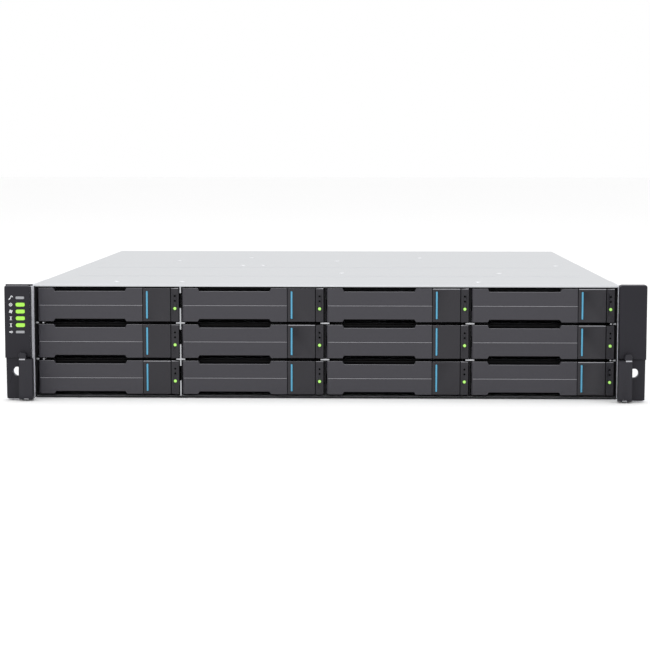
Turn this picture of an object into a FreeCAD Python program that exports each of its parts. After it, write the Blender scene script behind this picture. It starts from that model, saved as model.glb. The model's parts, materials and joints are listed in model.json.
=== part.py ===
"""A two-unit rack storage enclosure with twelve hot-swap drives, as a parametric FreeCAD document.

Millimetres, +X to the right seen from the front, +Y towards the rear, +Z up.
The origin is the middle of the overall box, on the plane that the chassis floor rests on.
"""

import FreeCAD, Part
import os
import re

import Sketcher

DIMS = {
    # the rack panel and the steel body
    "panel_width": 482.6,
    "ear_wide": 19.3,
    "body_height": 86.4,
    "body_depth": 485.0,
    "sheet": 1.2,
    "front_reach": 21.5,
    "rear_reach": 27.0,
    # the grid of drive bays
    "side_margin": 0.4,
    "floor_margin": 1.5,
    "bay_gap_wide": 2.2,
    "bay_gap_tall": 2.4,
    "divider": 1.2,
    "liner": 0.8,
    "guide_reach": 2.8,
    "guide_thick": 1.2,
    "guide_setback": 0.8,
    "divider_setback": 3.4,
    "tip_wide": 1.4,
    "left_guide_reach": 5.6,
    "right_guide_reach": 3.8,
    "cage_depth": 166.0,
    "edge_slot_top": 3.9,
    "edge_slot_tall": 11.3,
    "edge_slot_deep": 6.0,
    # a drive carrier, from its own lower left front corner
    "lamp_strip": 6.0,
    "seam": 0.4,
    "hinge_radius": 2.8,
    "pin_radius": 0.8,
    "pin_gap": 0.05,
    "lug_radius": 1.4,
    "lug_gap": 0.3,
    "lug_low": 8.7,
    "lug_tall": 8.0,
    "arm_wide": 2.2,
    "frame_gap": 0.6,
    "flap_room": 3.6,
    "frame_thick": 4.0,
    "rail_thick": 1.2,
    "rail_inset": 0.5,
    "rail_low": 2.4,
    "rail_tall": 20.0,
    "rail_length": 146.0,
    "boss_radius": 3.0,
    "boss_height": 6.7,
    "boss_front": 28.5,
    "boss_rear": 130.0,
    "vent_wide": 6.0,
    "vent_pitch": 8.0,
    "vent_tall": 16.0,
    "vent_first": 12.0,
    "lamp_radius": 1.2,
    "lamp_height": 9.9,
    "lamp_proud": 0.3,
    "fit_gap": 0.05,
    "pinhole_radius": 0.75,
    "pinhole_deep": 4.0,
    "pinhole_low": 15.7,
    "pinhole_high": 19.4,
    # a 3.5 inch drive
    "drive_width": 101.6,
    "drive_length": 147.0,
    "drive_height": 26.1,
    "drive_front": 16.0,
    "socket_wide": 42.0,
    "socket_tall": 6.0,
    "socket_deep": 6.0,
    "socket_height": 3.5,
    "plug_gap": 0.6,
    # the swinging flap of a carrier
    "button_width": 21.0,
    "flap_deep": 6.0,
    "flap_face": 2.0,
    "flap_wall": 1.3,
    "flap_step": 0.6,
    "flap_step_share": 0.48,
    "notch_end": 12.2,
    "notch_top": 2.4,
    "notch_bottom": 2.0,
    "notch_slant": 1.2,
    "rib_thick": 1.2,
    "rib_first": 24.0,
    "rib_pitch": 16.0,
    # the release button of a carrier
    "button_thick": 4.2,
    "stripe_wide": 1.4,
    "stripe_inset": 2.4,
    "stripe_margin": 2.2,
    "stripe_deep": 0.6,
    "stripe_proud": 0.15,
    "leg_radius": 2.0,
    "leg_gap": 0.3,
    "leg_length": 4.6,
    # the midplane board
    "midplane_gap": 9.6,
    "midplane_thick": 2.4,
    "midplane_margin": 3.0,
    "air_hole_wide": 30.0,
    "air_hole_tall": 12.0,
    "air_hole_height": 9.0,
    # rear modules
    "module_depth": 300.0,
    "partition": 1.0,
    "bay_gap": 0.5,
    "supply_width": 85.4,
    "board_thick": 1.6,
    "board_height": 5.0,
    "plug_seat": 14.0,
    "vent_slot": 3.6,
    "jack_wide": 15.8,
    "jack_tall": 13.4,
    "jack_deep": 16.0,
    "jack_mouth_wide": 11.8,
    "jack_mouth_tall": 8.4,
    "jack_mouth_deep": 12.0,
    "jack_pitch": 18.4,
    "jack_first": 96.0,
    "lever_length": 62.0,
    "lever_height": 8.0,
    "lever_low": 29.6,
    "lever_knuckle": 3.5,
    "lever_stand": 4.5,
    "lever_thick": 3.0,
    "lever_pin": 1.5,
    "lug_plate": 2.2,
    # the fan in a power supply
    "fan_size": 60.0,
    "fan_deep": 25.0,
    "fan_height": 51.0,
    "duct_radius": 28.6,
    "hub_radius": 12.5,
    "hub_length": 17.0,
    "spindle_radius": 1.5,
    "blade_thick": 1.2,
    "blade_chord": 13.0,
    "blade_tip": 27.0,
    "strut": 3.0,
    "guard_thick": 1.0,
    "guard_ring": 1.2,
    # the mains inlet, the handle and the latch of a power supply
    "inlet_wide": 27.0,
    "inlet_tall": 19.0,
    "inlet_deep": 18.0,
    "inlet_left": 16.0,
    "supply_board_height": 8.0,
    "inlet_mouth_wide": 22.6,
    "inlet_mouth_tall": 14.6,
    "inlet_mouth_deep": 15.0,
    "grip_wide": 6.0,
    "grip_thick": 5.0,
    "grip_low": 12.0,
    "grip_tall": 60.0,
    "grip_inset": 3.0,
    "latch_low": 28.0,
    "latch_tall": 16.0,
    "latch_knuckle": 2.5,
    "latch_stand": 4.0,
    "latch_x": 6.0,
    "latch_reach": 14.0,
    "latch_thick": 2.0,
    "latch_pin": 1.2,
    # the rack ears
    "ear_base": 0.4,
    "ear_height": 86.9,
    "left_cover_top": 86.7,
    "right_cover_top": 88.1,
    "ear_reach": 16.5,
    "cover_thick": 6.0,
    "lower_setback": 2.0,
    "lower_inset": 0.5,
    "lower_height": 31.4,
    "flange": 2.0,
    "leg_back": 60.0,
    "return_wall": 1.4,
    "return_gap": 6.0,
    "rack_hole_spacing": 465.1,
    "rack_hole_height": 21.4,
    "rack_hole_radius": 3.55,
    "bar_wide": 6.9,
    "bar_tall": 2.9,
    "slim_wide": 6.6,
    "slim_tall": 2.0,
    "bar_from_edge": 8.6,
    "bar_top": 9.3,
    "bar_pitch": 5.17,
    "mute_gap": 0.2,
    "mute_proud": 0.6,
    "mute_deep": 4.0,
    # the fold-down handles of the ears
    "handle_wide": 10.5,
    "handle_from_edge": 11.0,
    "handle_thick": 6.5,
    "handle_top": 36.4,
    "handle_lip": 5.6,
    "handle_axis": 3.25,
    "handle_eye": 2.0,
    "handle_pin": 1.0,
    "handle_wall": 1.3,
    "handle_base": 0.5,
    "handle_lug": 3.4,
    "handle_lug_gap": 0.3,
    # rail holes, cover screws and beads
    "rail_hole_radius": 2.1,
    "rail_hole_first": 120.0,
    "rail_hole_spacing": 280.0,
    "rail_hole_height": 43.2,
    "screw_radius": 2.4,
    "screw_head": 0.5,
    "lid_front": 275.0,
    "lid_seam": 0.6,
    "lid_hem": 2.2,
    "bead_wide": 7.0,
    "bead_deep": 0.4,
    "bead_first": 95.5,
    "bead_second": 209.5,
    "bead_margin": 18.0,
}

DERIVED = {
    "body_width": "(panel_width - 2 * ear_wide)",
    "column_pitch": "((body_width - 2 * sheet - 2 * side_margin) / 4)",
    "row_pitch": "((body_height - 2 * floor_margin) / 3)",
    "tray_width": "(column_pitch - bay_gap_wide)",
    "tray_height": "(row_pitch - bay_gap_tall)",
    "flap_width": "(tray_width - lamp_strip - button_width - 2 * seam)",
    "notch_left": "notch_end",
    "notch_right": "(flap_width - notch_end)",
    "face": "(front_reach - rear_reach - body_depth) / 2",
    "rear": "(face + body_depth)",
    "inner_half": "(body_width / 2 - sheet)",
    "under_cover": "(body_height - sheet)",
    "cage_floor": "((body_height - 3 * row_pitch) / 2)",
    "bay_side": "((column_pitch - tray_width) / 2)",
    "bay_under": "((row_pitch - tray_height) / 2)",
    "frame_front": "(flap_deep + flap_room)",
    "frame_back": "(frame_front + frame_thick)",
    "button_left": "(flap_width + seam)",
    "strip_left": "(tray_width - lamp_strip)",
    "drive_side": "((tray_width - drive_width) / 2)",
    "drive_low": "((tray_height - drive_height) / 2)",
    "drive_rear": "(drive_front + drive_length)",
    "midplane_front": "(drive_rear + midplane_gap)",
    "partition_face": "(inner_half - supply_width - 2 * bay_gap - partition)",
    "canister_width": "(2 * (partition_face - bay_gap))",
    "plug_reach": "(body_depth - module_depth - midplane_front - midplane_thick - bay_gap)",
    "shelf_low": "((body_height - partition) / 2)",
    "canister_height": "(shelf_low - sheet - 2 * bay_gap)",
    "supply_height": "(body_height - 2 * sheet - 2 * bay_gap)",
    "supply_middle": "(supply_width / 2)",
    "edge": "(panel_width / 2)",
    "ear_face": "(face - ear_reach)",
    "flange_front": "(ear_face + cover_thick)",
    "bar_left": "(bar_from_edge - edge)",
    "handle_left": "(handle_from_edge - edge)",
    "handle_front": "(face - front_reach)",
    "handle_hinge_y": "(handle_front + handle_axis)",
    "handle_hinge_z": "(handle_base + handle_axis)",
}

COLUMNS = 4
ROWS = 3
JACKS = 5
CANISTER_VENTS = 8
BLADES = 7
SCREW_SPOTS = [
    (-163, 33), (-112, 33), (118, 33), (11, 137), (142, 137), (-79, 241), (-61, 241), (200, 241),
    (-143, 309), (4, 309), (-79, 362), (83, 362),
]
BLADE_PITCH_DEG = 35.0

doc = FreeCAD.newDocument("storage_enclosure")
sheet = doc.addObject("Spreadsheet::Sheet", "dims")
nodes = []

TURNS = {
    "x": FreeCAD.Rotation(FreeCAD.Vector(0, 1, 0), 90),
    "y": FreeCAD.Rotation(FreeCAD.Vector(1, 0, 0), -90),
    "z": FreeCAD.Rotation(),
}


def formula(text):
    """Text in the words of DIMS and DERIVED, as an expression on the spreadsheet's cells."""
    def cell(match):
        word = match.group(0)
        if word in DERIVED:
            return formula(DERIVED[word])
        return "dims." + word if word in DIMS else word
    return re.sub(r"[a-z_]+", cell, str(text))


def value(text):
    """The number that such a text has now."""
    words = {**DIMS}
    plain = str(text)
    while any(re.search(rf"\b{word}\b", plain) for word in DERIVED):
        for word, rule in DERIVED.items():
            plain = re.sub(rf"\b{word}\b", rule, plain)
    for word in sorted(words, key=len, reverse=True):
        plain = re.sub(rf"\b{word}\b", repr(words[word]), plain)
    return float(FreeCAD.Units.Quantity(plain).Value)


def fill_sheet():
    for line, (alias, number) in enumerate(DIMS.items(), start=1):
        sheet.set(f"A{line}", alias)
        sheet.set(f"B{line}", str(number))
        sheet.setAlias(f"B{line}", alias)


def place(item, at):
    for axis, text in zip("xyz", at):
        item.setExpression(f"Placement.Base.{axis}", formula(text))
    return item


def box(name, size, at):
    item = doc.addObject("Part::Box", name)
    for side, text in zip(("Length", "Width", "Height"), size):
        item.setExpression(side, formula(text))
    return place(item, at)


def cylinder(name, radius, height, at, along="z"):
    item = doc.addObject("Part::Cylinder", name)
    item.setExpression("Radius", formula(radius))
    item.setExpression("Height", formula(height))
    item.Placement = FreeCAD.Placement(FreeCAD.Vector(), TURNS[along])
    return place(item, at)


def join(name, pieces):
    item = doc.addObject("Part::MultiFuse", name)
    item.Shapes = pieces
    item.Refine = True
    return item


def cut(name, base, tools):
    item = doc.addObject("Part::Cut", name)
    item.Base = base
    item.Tool = tools[0] if len(tools) == 1 else join(name + "_tools", tools)
    return item


def sketch_in(body, name, plane, points):
    """A closed outline in one of the body's origin planes, each corner tied to the spreadsheet."""
    sketch = body.newObject("Sketcher::SketchObject", name)
    support = [f for f in body.Origin.OriginFeatures if f.Role == plane][0]
    sketch.AttachmentSupport = [(support, "")]
    sketch.MapMode = "FlatFace"
    corners = [(value(x), value(y)) for x, y in points]
    count = len(corners)
    for i in range(count):
        start, end = corners[i], corners[(i + 1) % count]
        sketch.addGeometry(Part.LineSegment(FreeCAD.Vector(*start), FreeCAD.Vector(*end)), False)
    for i in range(count):
        sketch.addConstraint(Sketcher.Constraint("Coincident", i, 2, (i + 1) % count, 1))
        for kind, number, text in zip(("DistanceX", "DistanceY"), corners[i], points[i]):
            tie = sketch.addConstraint(Sketcher.Constraint(kind, -1, 1, i, 1, number))
            sketch.setExpression(f"Constraints[{tie}]", formula(text))
    return sketch


def padded(name, plane, points, length, at, reverse=False):
    """A body made by one sketch and one pad. A pad on XZ grows towards -Y unless it is reversed."""
    body = doc.addObject("PartDesign::Body", name)
    pad = body.newObject("PartDesign::Pad", name + "_pad")
    pad.Profile = sketch_in(body, name + "_outline", plane, points)
    pad.setExpression("Length", formula(length))
    pad.Reversed = reverse
    body.Tip = pad
    return place(body, at)


def pocket(body, name, plane, points, length, start, reverse):
    """Takes a sketched pocket out of a body, from an offset of the plane."""
    tool = body.newObject("PartDesign::Pocket", name)
    sketch = sketch_in(body, name + "_outline", plane, points)
    sketch.AttachmentOffset = FreeCAD.Placement()
    sketch.setExpression("AttachmentOffset.Base.z", formula(start))
    tool.Profile = sketch
    tool.setExpression("Length", formula(length))
    tool.Reversed = reverse
    body.Tip = tool


def node(label, item):
    item.Label = label
    nodes.append(item)
    return item


def gather(label, pieces, at=("0", "0", "0")):
    """A node of one or more solids, placed in the object."""
    item = doc.addObject("Part::Compound", "node_" + label)
    item.Links = pieces
    place(item, at)
    return node(label, item)


def mirror(name, item):
    """The same piece on the other side of the middle plane."""
    twin = doc.addObject("Part::Mirroring", name)
    twin.Source = item
    twin.Base = FreeCAD.Vector(0, 0, 0)
    twin.Normal = FreeCAD.Vector(1, 0, 0)
    return twin


# The steel body

def make_chassis():
    half, wall, top = "body_width / 2", "sheet", "under_cover"
    outline = [
        (f"-{half}", "0"), (half, "0"), (half, top), (f"{half} - {wall}", top),
        (f"{half} - {wall}", wall), (f"{wall} - {half}", wall), (f"{wall} - {half}", top), (f"-{half}", top),
    ]
    channel = padded("chassis_channel", "XZ_Plane", outline, "body_depth", ("0", "face", "0"), True)
    holes = []
    for i in range(2):
        along = f"face + rail_hole_first + {i} * rail_hole_spacing"
        holes.append(cylinder(f"rail_hole_{i}", "rail_hole_radius", "body_width + 2 * sheet",
                              ("-body_width / 2 - sheet", along, "rail_hole_height"), "x"))
    gather("chassis_base", [cut("chassis_cut", channel, holes)])


def make_cover():
    """The cover: a front lid with two shallow grooves and a hem, and a rear lid behind a narrow seam."""
    plate = box("lid_plate", ("body_width", "lid_front", "sheet"), ("-body_width / 2", "face", "under_cover"))
    hem = box("lid_hem_strip", ("2 * inner_half", "guide_setback", "lid_hem"),
              ("-inner_half", "face", "body_height - lid_hem"))
    beads = []
    for name in ("bead_first", "bead_second"):
        beads.append(box("groove_" + name, ("body_width - 2 * bead_margin", "bead_wide", "2 * bead_deep"),
                         ("bead_margin - body_width / 2", f"face + {name}", "body_height - bead_deep")))
    rear_lid = box("rear_lid", ("body_width", "body_depth - lid_front - lid_seam", "sheet"),
                   ("-body_width / 2", "face + lid_front + lid_seam", "under_cover"))
    gather("top_cover", [cut("lid_cut", join("lid", [plate, hem]), beads), rear_lid])


def make_screws():
    screws = [cylinder(f"screw_{i}", "screw_radius", "screw_head", (across, f"face + {along}", "body_height"))
              for i, (across, along) in enumerate(SCREW_SPOTS)]
    gather("cover_screws", screws)


def divider_plate(index):
    """An upright plate between two columns, with a guide on both sides under and over each bay.
    The first plate comes nearly to the front, and has a slot in its edge beside each bay."""
    middle = f"({index} - 2) * column_pitch"
    setback = "guide_setback" if index == 1 else "divider_setback"
    plate = box(f"divider_{index}", ("divider", f"cage_depth - {setback}", "under_cover - sheet"),
                (f"{middle} - divider / 2", f"face + {setback}", "sheet"))
    if index == 1:
        plate = cut(f"divider_{index}_cut", plate, edge_slots(f"{middle} - divider", "2 * divider"))
    guides = []
    for row in range(1, ROWS):
        guides.append(box(f"guide_{index}_{row}",
                          ("divider + 2 * guide_reach", "cage_depth - edge_slot_deep", "guide_thick"),
                          (f"{middle} - divider / 2 - guide_reach", "face + guide_setback",
                           f"cage_floor + {row} * row_pitch - guide_thick / 2")))
    return join(f"divider_{index}_guided", [plate] + guides)


def edge_slots(left, wide):
    """The cut-out in an upright's front edge beside the flap of each bay."""
    slots = []
    for row in range(ROWS):
        top = f"cage_floor + {row} * row_pitch + bay_under + tray_height - edge_slot_top"
        slots.append(box(f"edge_slot_{row}", (wide, "edge_slot_deep", "edge_slot_tall"),
                         (left, "face", f"{top} - edge_slot_tall")))
    return slots


def side_liner(name, reach):
    """A lining of the cage, drawn on the left, with guides on its inner side that are forked at the front."""
    plate = box(f"{name}_plate", ("liner", "cage_depth - divider_setback", "under_cover - sheet"),
                ("-inner_half", "face + divider_setback", "sheet"))
    guides, forks = [], []
    for row in range(1, ROWS):
        low = f"cage_floor + {row} * row_pitch - guide_thick / 2"
        guides.append(box(f"{name}_guide_{row}", (f"liner + {reach}", "cage_depth - edge_slot_deep", "guide_thick"),
                          ("-inner_half", "face + guide_setback", low)))
        forks.append(box(f"{name}_fork_{row}", (f"liner + {reach} - 2 * tip_wide - liner", "edge_slot_deep",
                                                "3 * guide_thick"),
                         ("-inner_half + liner + tip_wide", "face", f"{low} - guide_thick")))
    return cut(f"{name}_forked", join(f"{name}_guided", [plate] + guides), forks)


def make_cage():
    liners = [side_liner("left_liner", "left_guide_reach"),
              mirror("right_liner_mirrored", side_liner("right_liner", "right_guide_reach"))]
    gather("drive_cage", liners + [divider_plate(index) for index in range(1, COLUMNS)])


def bay_spot(row, column):
    """A bay's lower left front corner, rows counted from the top and columns from the left."""
    return (f"({column} - 2) * column_pitch + bay_side", "face",
            f"cage_floor + ({ROWS - 1} - {row}) * row_pitch + bay_under")


def make_midplane():
    board = box("midplane_plate",
                ("2 * (inner_half - midplane_margin)", "midplane_thick", "under_cover - sheet"),
                ("midplane_margin - inner_half", "face + midplane_front", "sheet"))
    holes, plugs = [], []
    for row in range(ROWS):
        for column in range(COLUMNS):
            left, _, low = bay_spot(row, column)
            holes.append(box(f"air_hole_{row}_{column}",
                             ("air_hole_wide", "3 * midplane_thick", "air_hole_tall"),
                             (f"{left} + (tray_width - air_hole_wide) / 2",
                              "face + midplane_front - midplane_thick", f"{low} + air_hole_height")))
            plugs.append(box(f"plug_{row}_{column}",
                             ("socket_wide - 2 * plug_gap", "midplane_gap + socket_deep - plug_gap",
                              "socket_tall - 2 * plug_gap"),
                             (f"{left} + (tray_width - socket_wide) / 2 + plug_gap",
                              "face + drive_rear - socket_deep + plug_gap",
                              f"{low} + socket_height + plug_gap")))
    gather("midplane_board", [cut("midplane_cut", board, holes)])
    gather("drive_connectors", plugs)


def make_partitions():
    upright = box("partition_left", ("partition", "module_depth", "under_cover - sheet"),
                  ("-partition_face - partition", "rear - module_depth", "sheet"))
    shelf = box("module_shelf", ("2 * partition_face", "module_depth", "partition"),
                ("-partition_face", "rear - module_depth", "shelf_low"))
    gather("module_partitions", [upright, mirror("partition_right", upright), shelf])


# One drive carrier, its flap and its button, in the carrier's own frame

def carrier_frame():
    wall = box("carrier_wall", ("tray_width", "frame_thick", "tray_height - 2 * frame_gap"),
               ("0", "frame_front", "frame_gap"))
    cuts = []
    for i in range(8):
        cuts.append(box(f"carrier_vent_{i}", ("vent_wide", "3 * frame_thick", "vent_tall"),
                        (f"vent_first + {i} * vent_pitch", "frame_front - frame_thick",
                         "(tray_height - vent_tall) / 2")))
    for i, spot in enumerate(button_leg_spots()):
        cuts.append(cylinder(f"carrier_leg_hole_{i}", "leg_radius + leg_gap", "2 * frame_thick",
                             (spot[0], "frame_front - frame_thick / 2", spot[1]), "y"))
    return cut("carrier_wall_cut", wall, cuts)


def button_leg_spots():
    return [("button_left + button_width / 2", f"tray_height * {share}") for share in (0.25, 0.75)]


def carrier_lamp_block():
    block = box("lamp_block", ("lamp_strip", "frame_front", "tray_height"), ("strip_left", "0", "0"))
    middle = "strip_left + lamp_strip / 2"
    bores = [cylinder("lamp_bore", "lamp_radius", "2 * frame_front",
                      (middle, "-frame_front / 2", "lamp_height"), "y")]
    for name in ("pinhole_low", "pinhole_high"):
        bores.append(cylinder(name + "_bore", "pinhole_radius", "2 * pinhole_deep",
                              (middle, "-pinhole_deep", name), "y"))
    return cut("lamp_block_cut", block, bores)


def carrier_rail(side):
    """One side rail with the two bosses that its drive is screwed against."""
    left = "rail_inset" if side == "left" else "tray_width - rail_inset - rail_thick"
    boss = "rail_inset + rail_thick" if side == "left" else "drive_side + drive_width"
    rail = box(f"rail_{side}", ("rail_thick", "rail_length", "rail_tall"), (left, "frame_back", "rail_low"))
    bosses = []
    for name in ("boss_front", "boss_rear"):
        bosses.append(cylinder(f"{name}_{side}", "boss_radius", "drive_side - rail_inset - rail_thick",
                               (boss, f"drive_front + {name}", "boss_height"), "x"))
    return join(f"rail_{side}_bossed", [rail] + bosses)


def make_carrier_master():
    lug = cylinder("hinge_lug", "lug_radius", "lug_tall", ("hinge_radius", "hinge_radius", "lug_low"))
    arm = box("hinge_arm", ("arm_wide", "frame_front - hinge_radius", "lug_tall"),
              ("hinge_radius - arm_wide / 2", "hinge_radius", "lug_low"))
    pin = cylinder("hinge_pin", "pin_radius", "tray_height - 2 * flap_wall",
                   ("hinge_radius", "hinge_radius", "flap_wall"))
    return join("carrier", [carrier_frame(), carrier_lamp_block(), carrier_rail("left"),
                            carrier_rail("right"), arm, lug, pin])


def make_drive_master():
    block = box("drive_block", ("drive_width", "drive_length", "drive_height"),
                ("drive_side", "drive_front", "drive_low"))
    socket = box("drive_socket", ("socket_wide", "2 * socket_deep", "socket_tall"),
                 ("(tray_width - socket_wide) / 2", "drive_rear - socket_deep", "socket_height"))
    return cut("drive", block, [socket])


def make_lamp_master():
    return cylinder("lamp_pipe", "lamp_radius - fit_gap", "frame_front + lamp_proud",
                    ("strip_left + lamp_strip / 2", "-lamp_proud", "lamp_height"), "y")


def flap_outline(left, right, margin):
    """The flap seen from the front, with its two air notches, drawn in by a margin."""
    low, high = f"{margin}", f"tray_height - {margin}"
    dip, peak = f"notch_bottom + {margin}", f"tray_height - notch_top - {margin}"
    near, far = f"notch_left - {margin}", f"notch_right + {margin}"
    return [
        (left, low), (near, low), (f"{near} + notch_slant", dip), (f"{far} - notch_slant", dip),
        (far, low), (right, low), (right, high), (far, high), (f"{far} - notch_slant", peak),
        (f"{near} + notch_slant", peak), (near, high), (left, high),
    ]


def make_flap_master():
    shell = padded("flap_shell", "XZ_Plane", flap_outline("hinge_radius", "flap_width", "0"),
                   "flap_deep", ("0", "0", "0"), True)
    pocket(shell, "flap_hollow", "XZ_Plane",
           flap_outline("2 * hinge_radius", "flap_width - flap_wall", "flap_wall"),
           "flap_deep", "-flap_face", False)
    knuckle = cylinder("flap_knuckle", "hinge_radius", "tray_height", ("hinge_radius", "hinge_radius", "0"))
    ribs = []
    for i in range(3):
        ribs.append(box(f"flap_rib_{i}", ("rib_thick", "flap_deep - flap_face - flap_wall",
                                          "tray_height - notch_bottom - notch_top"),
                        (f"rib_first + {i} * rib_pitch", "flap_face", "notch_bottom")))
    solid = join("flap_solid", [shell, knuckle] + ribs)
    cuts = [
        cylinder("flap_bore", "pin_radius + pin_gap", "tray_height - 2 * flap_wall + 2 * pin_gap",
                 ("hinge_radius", "hinge_radius", "flap_wall - pin_gap")),
        cylinder("flap_lug_room", "lug_radius + lug_gap", "lug_tall + 2 * lug_gap",
                 ("hinge_radius", "hinge_radius", "lug_low - lug_gap")),
        box("flap_arm_room", ("hinge_radius + arm_wide / 2 + 2 * lug_gap", "flap_deep",
                              "lug_tall + 2 * lug_gap"),
            ("-lug_gap", "hinge_radius - arm_wide / 2 - lug_gap", "lug_low - lug_gap")),
        box("flap_upper_step", ("2 * flap_width", "2 * flap_step", "tray_height"),
            ("-flap_width / 2", "-flap_step", "flap_step_share * tray_height")),
    ]
    return cut("flap", solid, cuts)


def make_button_master():
    cap = box("button_cap", ("button_width", "button_thick", "tray_height"), ("button_left", "0", "0"))
    legs = [cylinder(f"button_leg_{i}", "leg_radius", "leg_length", (spot[0], "button_thick", spot[1]), "y")
            for i, spot in enumerate(button_leg_spots())]
    stripe = box("stripe", ("stripe_wide", "stripe_deep + stripe_proud", "tray_height - 2 * stripe_margin"),
                 ("button_left + stripe_inset", "-stripe_proud", "stripe_margin"))
    groove = box("stripe_groove", ("stripe_wide + 2 * fit_gap", "2 * stripe_deep",
                                   "tray_height - 2 * stripe_margin + 2 * fit_gap"),
                 ("button_left + stripe_inset - fit_gap", "-stripe_deep", "stripe_margin - fit_gap"))
    return [cut("button", join("button_solid", [cap] + legs), [groove]), stripe]


def make_trays():
    carrier = [make_carrier_master(), make_drive_master(), make_lamp_master()]
    flap = [make_flap_master()]
    button = make_button_master()
    for row in range(ROWS):
        for column in range(COLUMNS):
            bay = f"r{row + 1}c{column + 1}"
            spot = bay_spot(row, column)
            gather(f"drive_carrier_{bay}", carrier, spot)
            gather(f"carrier_flap_{bay}", flap, spot)
            gather(f"release_button_{bay}", button, spot)


# The rack ears with their fold-down handles

def make_ear_bracket(name, return_front):
    """A left steel ear: a flange for the rack screw, a leg along the chassis side, and a return beside the bays."""
    flange = box(f"{name}_flange", ("edge - body_width / 2 + return_wall", "flange", "ear_height"),
                 ("-edge", "flange_front", "ear_base"))
    leg = box(f"{name}_leg", ("flange", "leg_back - flange_front + face", "ear_height - 2 * sheet"),
              ("-body_width / 2 - flange", "flange_front", "ear_base + sheet"))
    inner = box(f"{name}_return", ("return_wall", f"face - return_gap - ({return_front})", "ear_height - 2 * sheet"),
                ("-body_width / 2", return_front, "ear_base + sheet"))
    relief = box(f"{name}_relief", ("3 * return_wall", "2 * lower_setback", "lower_height"),
                 ("-body_width / 2 - return_wall", "ear_face - lower_setback", "ear_base"))
    hole = cylinder(f"{name}_hole", "rack_hole_radius", "4 * flange",
                    ("-rack_hole_spacing / 2", "flange_front - flange", "rack_hole_height"), "y")
    return cut(name, join(f"{name}_solid", [flange, leg, inner]), [hole, relief])


def bar_low(index, tall):
    return f"left_cover_top - bar_top - {index} * bar_pitch - {tall} / 2"


def make_ear_cover(name, top, reach, windows):
    """A left plastic cover: a thick upper panel, and a thinner lower one with the screw hole and the handle's pin.
    reach is how far it goes past the chassis side."""
    upper = box(f"{name}_upper", (f"edge - body_width / 2 + {reach}", "cover_thick",
                                  f"{top} - ear_base - lower_height"),
                ("-edge", "ear_face", "ear_base + lower_height"))
    lower = box(f"{name}_lower", (f"edge - body_width / 2 + {reach} - lower_inset", "cover_thick - lower_setback",
                                  "lower_height"),
                ("lower_inset - edge", "ear_face + lower_setback", "ear_base"))
    middle = "handle_left + (handle_wide - handle_lug) / 2"
    lug = box(f"{name}_lug", ("handle_lug", "flange_front - handle_hinge_y", "2 * handle_eye"),
              (middle, "handle_hinge_y", "handle_hinge_z - handle_eye"))
    eye = cylinder(f"{name}_eye", "handle_eye", "handle_lug", (middle, "handle_hinge_y", "handle_hinge_z"), "x")
    pin = cylinder(f"{name}_pin", "handle_pin", "handle_wide - 2 * handle_wall",
                   ("handle_left + handle_wall", "handle_hinge_y", "handle_hinge_z"), "x")
    cuts = [cylinder(f"{name}_hole", "rack_hole_radius", "2 * cover_thick",
                     ("-rack_hole_spacing / 2", "ear_face", "rack_hole_height"), "y")]
    if windows:
        for i in range(5):
            wide, tall = ("slim_wide", "slim_tall") if i == 0 else ("bar_wide", "bar_tall")
            cuts.append(box(f"{name}_window_{i}", (f"{wide} + 2 * fit_gap", "3 * cover_thick", f"{tall} + 2 * fit_gap"),
                            ("bar_left - fit_gap", "ear_face - cover_thick", bar_low(i, tall) + " - fit_gap")))
        cuts.append(box(f"{name}_button_hole",
                        ("slim_wide + 2 * mute_gap", "3 * cover_thick", "slim_tall + 2 * mute_gap"),
                        ("bar_left - mute_gap", "ear_face - cover_thick",
                         bar_low(5, "slim_tall") + " - mute_gap")))
    return cut(name, join(f"{name}_solid", [upper, lower, lug, eye, pin]), cuts)


def make_indicators():
    bars = []
    for i in range(5):
        wide, tall = ("slim_wide", "slim_tall") if i == 0 else ("bar_wide", "bar_tall")
        bars.append(box(f"light_bar_{i}", (wide, "cover_thick", tall), ("bar_left", "ear_face", bar_low(i, tall))))
    gather("indicator_bars", bars)
    gather("mute_button", [box("mute_key", ("slim_wide", "mute_deep + mute_proud", "slim_tall"),
                               ("bar_left", "ear_face - mute_proud", bar_low(5, "slim_tall")))])


def make_handle():
    """The left handle, folded up: a bar with a finger lip, round its hinge at the foot."""
    bar = box("handle_bar", ("handle_wide", "handle_thick", "lower_height - handle_hinge_z"),
              ("handle_left", "handle_front", "handle_hinge_z"))
    lip = box("handle_tab", ("handle_lip", "front_reach - ear_reach - handle_base", "handle_top - handle_axis"),
              ("handle_left", "handle_front", "handle_axis"))
    foot = cylinder("handle_foot", "handle_axis", "handle_wide",
                    ("handle_left", "handle_hinge_y", "handle_hinge_z"), "x")
    slot = ("handle_left + (handle_wide - handle_lug) / 2 - handle_lug_gap", "handle_lug + 2 * handle_lug_gap")
    cuts = [
        cylinder("handle_bore", "handle_pin + pin_gap", "handle_wide - 2 * handle_wall + 2 * pin_gap",
                 ("handle_left + handle_wall - pin_gap", "handle_hinge_y", "handle_hinge_z"), "x"),
        cylinder("handle_eye_room", "handle_eye + handle_lug_gap", slot[1],
                 (slot[0], "handle_hinge_y", "handle_hinge_z"), "x"),
        box("handle_lug_room", (slot[1], "handle_thick", "2 * handle_axis"),
            (slot[0], "handle_hinge_y - handle_eye - handle_lug_gap",
             "handle_hinge_z - 2 * handle_axis + handle_eye + handle_lug_gap")),
    ]
    return cut("handle", join("handle_solid", [bar, lip, foot]), cuts)


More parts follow.
